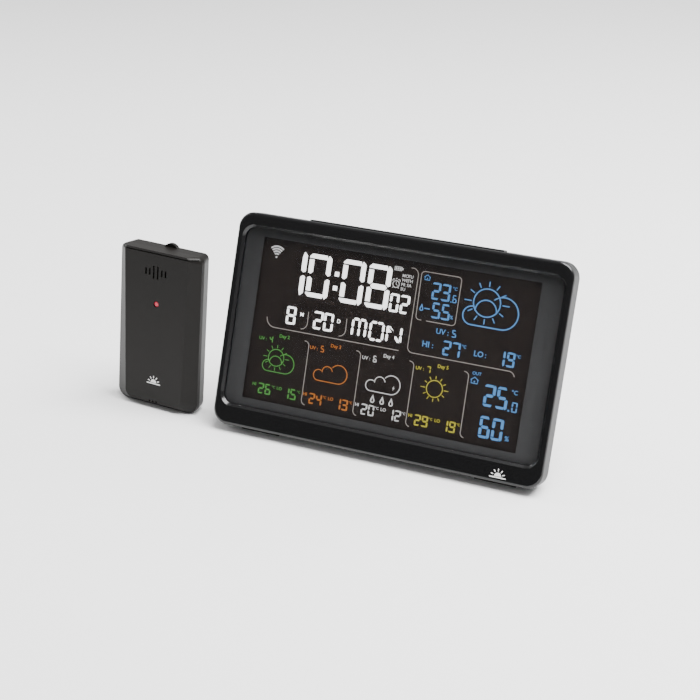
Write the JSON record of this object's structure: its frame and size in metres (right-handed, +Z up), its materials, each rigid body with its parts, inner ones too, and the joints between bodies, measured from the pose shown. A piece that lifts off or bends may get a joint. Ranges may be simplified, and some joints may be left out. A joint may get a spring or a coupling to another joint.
{
  "type": "home weather station",
  "caption": "Leaning rectangular colour weather display on a fold-out rear leg, with a separate upright battery-powered outdoor sensor beside it.",
  "frame": {"origin": "on the table top, at the middle of the box around the console and its sensor", "axes": "+Z up, +X along the row from the sensor to the console, seen from the front; the displays face -Y and lean back towards +Y"},
  "size_m": [0.2722, 0.062, 0.1203],
  "materials": {
    "bezel_plastic": "glossy black moulded ABS",
    "mask_print": "satin grey screen-printed mask",
    "display_lens": "clear acrylic window",
    "lcd_glass": "brown-black display glass",
    "clear_acrylic": "clear acrylic light guide",
    "white_film": "white reflector film",
    "frame_plastic": "white moulded frame",
    "board": "green solder mask",
    "copper_film": "amber polyimide film",
    "chip_black": "black moulded epoxy",
    "tin_plate": "tinned steel",
    "copper_wire": "enamelled copper wire",
    "rear_plastic": "black textured ABS",
    "key_rubber": "black rubberised key",
    "foot_rubber": "black rubber",
    "steel": "zinc-plated steel",
    "cell_steel": "nickel-plated steel",
    "cell_sleeve": "printed cell sleeve",
    "sensor_plastic": "satin brown-black ABS",
    "lamp_red": "red translucent acrylic",
    "gasket_rubber": "grey silicone"
  },
  "bodies": {
    "console": {"front_bezel": "bezel_plastic", "display_lens": "display_lens", "display_mask": "mask_print", "lcd_panel": "lcd_glass", "light_guide": "clear_acrylic", "reflector_sheet": "white_film", "lcd_frame": "frame_plastic", "backlight_strip": "board", "lcd_ribbon": "copper_film", "main_board": "board", "dc_jack": "chip_black", "wifi_module": "tin_plate", "board_chips": "chip_black", "tact_switches": "chip_black", "board_screws": "steel", "radio_module": "board", "console_antenna": "copper_wire", "buzzer": "chip_black", "room_sensor": "chip_black", "snooze_switch": "chip_black", "rear_shell": "rear_plastic", "case_screws": "steel", "coin_cell": "cell_steel", "console_feet": "foot_rubber", "leg_pin": "steel"},
    "leg": {"stand_leg": "rear_plastic", "leg_pad": "foot_rubber"},
    "coin_door": {"battery_door": "rear_plastic"},
    "snooze": {"snooze_bar": "bezel_plastic"},
    "sensor": {"sensor_front_shell": "sensor_plastic", "sensor_back_shell": "sensor_plastic", "sensor_batteries": "cell_sleeve", "cell_springs": "steel", "cell_contacts": "tin_plate", "sensor_board": "board", "sensor_antenna": "copper_wire", "lamp_lens": "lamp_red", "lamp_diode": "white_film", "humidity_chip": "white_film", "sensor_switches": "chip_black", "seam_gasket": "gasket_rubber", "sensor_screws": "steel"},
    "sensor_door": {"sensor_battery_door": "sensor_plastic"},
    "send": {"send_button": "key_rubber"},
    "slider": {"channel_slider": "chip_black"},
    "set_button": {"set_key": "key_rubber"},
    "alarm_button": {"alarm_key": "key_rubber"},
    "up_button": {"up_key": "key_rubber"},
    "down_button": {"down_key": "key_rubber"},
    "channel_button": {"channel_key": "key_rubber"},
    "wifi_button": {"wifi_key": "key_rubber"}
  },
  "joints": [
    {"name": "leg_hinge", "type": "hinge", "parent": "console", "child": "leg", "pos_m": [0.03612, 0.00596, 0.04856], "axis": [1, 0, 0], "range_deg": [-41, 0]},
    {"name": "coin_door_lift", "type": "slide", "parent": "console", "child": "coin_door", "axis": [0, 0.9336, -0.3584], "range_m": [0, 0.03]},
    {"name": "snooze_press", "type": "slide", "parent": "console", "child": "snooze", "axis": [0, -0.3584, -0.9336], "range_m": [0, 0.0005], "stiffness_N_per_m": 300},
    {"name": "set_press", "type": "slide", "parent": "console", "child": "set_button", "axis": [0, -0.9336, 0.3584], "range_m": [0, 0.0004], "stiffness_N_per_m": 300},
    {"name": "alarm_press", "type": "slide", "parent": "console", "child": "alarm_button", "axis": [0, -0.9336, 0.3584], "range_m": [0, 0.0004], "stiffness_N_per_m": 300},
    {"name": "up_press", "type": "slide", "parent": "console", "child": "up_button", "axis": [0, -0.9336, 0.3584], "range_m": [0, 0.0004], "stiffness_N_per_m": 300},
    {"name": "down_press", "type": "slide", "parent": "console", "child": "down_button", "axis": [0, -0.9336, 0.3584], "range_m": [0, 0.0004], "stiffness_N_per_m": 300},
    {"name": "channel_press", "type": "slide", "parent": "console", "child": "channel_button", "axis": [0, -0.9336, 0.3584], "range_m": [0, 0.0004], "stiffness_N_per_m": 300},
    {"name": "wifi_press", "type": "slide", "parent": "console", "child": "wifi_button", "axis": [0, -0.9336, 0.3584], "range_m": [0, 0.0004], "stiffness_N_per_m": 300},
    {"name": "sensor_lift", "type": "slide", "parent": "console", "child": "sensor", "axis": [0, 0, 1], "range_m": [0, 0.12]},
    {"name": "sensor_door_lift", "type": "slide", "parent": "sensor", "child": "sensor_door", "axis": [0.0846, 0.9866, -0.1392], "range_m": [0, 0.03]},
    {"name": "send_press", "type": "slide", "parent": "sensor", "child": "send", "axis": [-0.0846, -0.9866, 0.1392], "range_m": [0, 0.0004], "stiffness_N_per_m": 300},
    {"name": "channel_slide", "type": "slide", "parent": "sensor", "child": "slider", "axis": [0.9963, -0.0854, 0], "range_m": [-0.0018, 0.0018]}
  ]
}
